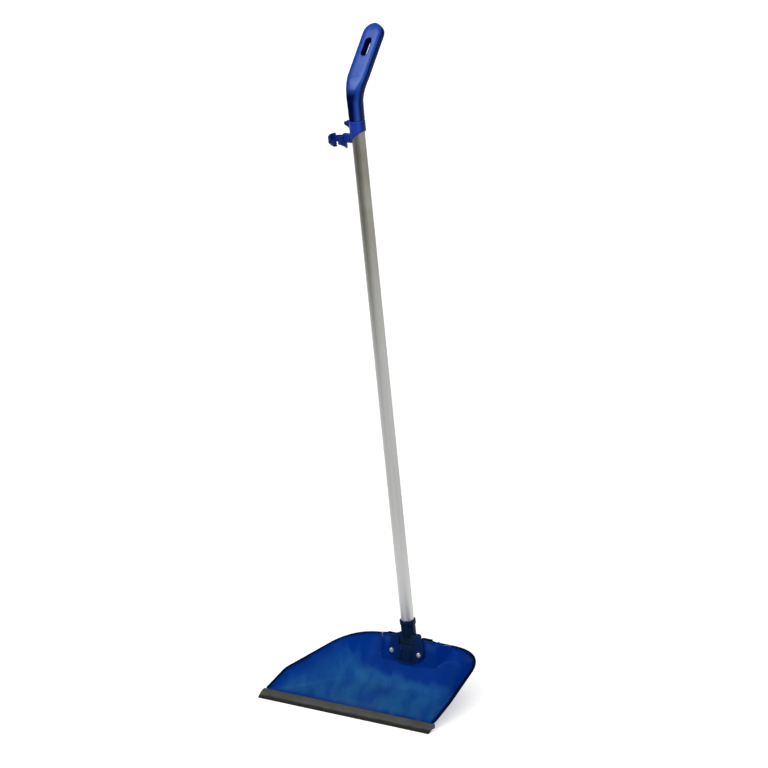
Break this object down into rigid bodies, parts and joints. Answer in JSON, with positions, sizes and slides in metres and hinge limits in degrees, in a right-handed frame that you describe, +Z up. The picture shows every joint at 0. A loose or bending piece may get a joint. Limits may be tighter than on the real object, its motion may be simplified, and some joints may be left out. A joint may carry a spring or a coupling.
{
  "type": "lobby dustpan",
  "caption": "Long-handled lobby dustpan: flared blue scoop with a rubber front lip, folding aluminium handle, cranked grip with a hanging slot and a swivelling broom clip.",
  "frame": {"origin": "on the ground below the middle of the pan, halfway between the lip edge and the rear rim", "axes": "+Z up, -Y toward the rubber lip, +X to the right of a person facing the lip"},
  "size_m": [0.3, 0.195, 0.9772],
  "materials": {
    "pan_plastic": "glossy moulded polypropylene, lightly scuffed",
    "lip_rubber": "satin dark grey rubber",
    "navy_plastic": "semi-gloss dark navy plastic",
    "screw_steel": "bright zinc plate",
    "pin_steel": "drawn steel",
    "tube_aluminium": "satin drawn aluminium",
    "grip_plastic": "glossy blue plastic",
    "clip_plastic": "glossy blue plastic"
  },
  "bodies": {
    "pan_body": {"pan": "pan_plastic", "rubber_lip": "lip_rubber", "pan_bracket": "navy_plastic", "bracket_screws": "screw_steel", "bracket_washers": "screw_steel", "bracket_nuts": "screw_steel", "hinge_pin": "pin_steel", "pin_ring": "pin_steel"},
    "handle_body": {"handle_socket": "navy_plastic", "handle_tube": "tube_aluminium", "tube_foot_plug": "navy_plastic", "socket_screw": "screw_steel", "tube_head_plug": "navy_plastic", "grip": "grip_plastic", "grip_screw": "screw_steel"},
    "clip_body": {"broom_clip": "clip_plastic"}
  },
  "joints": [
    {"name": "handle_tilt", "type": "hinge", "parent": "pan_body", "child": "handle_body", "pos_m": [0, 0.069, 0.075], "axis": [-1, 0, 0], "range_deg": [0, 86]},
    {"name": "clip_swivel", "type": "hinge", "parent": "handle_body", "child": "clip_body", "pos_m": [0, -0.05595, 0.82973], "axis": [0, -0.1633, 0.9866], "continuous": true}
  ]
}
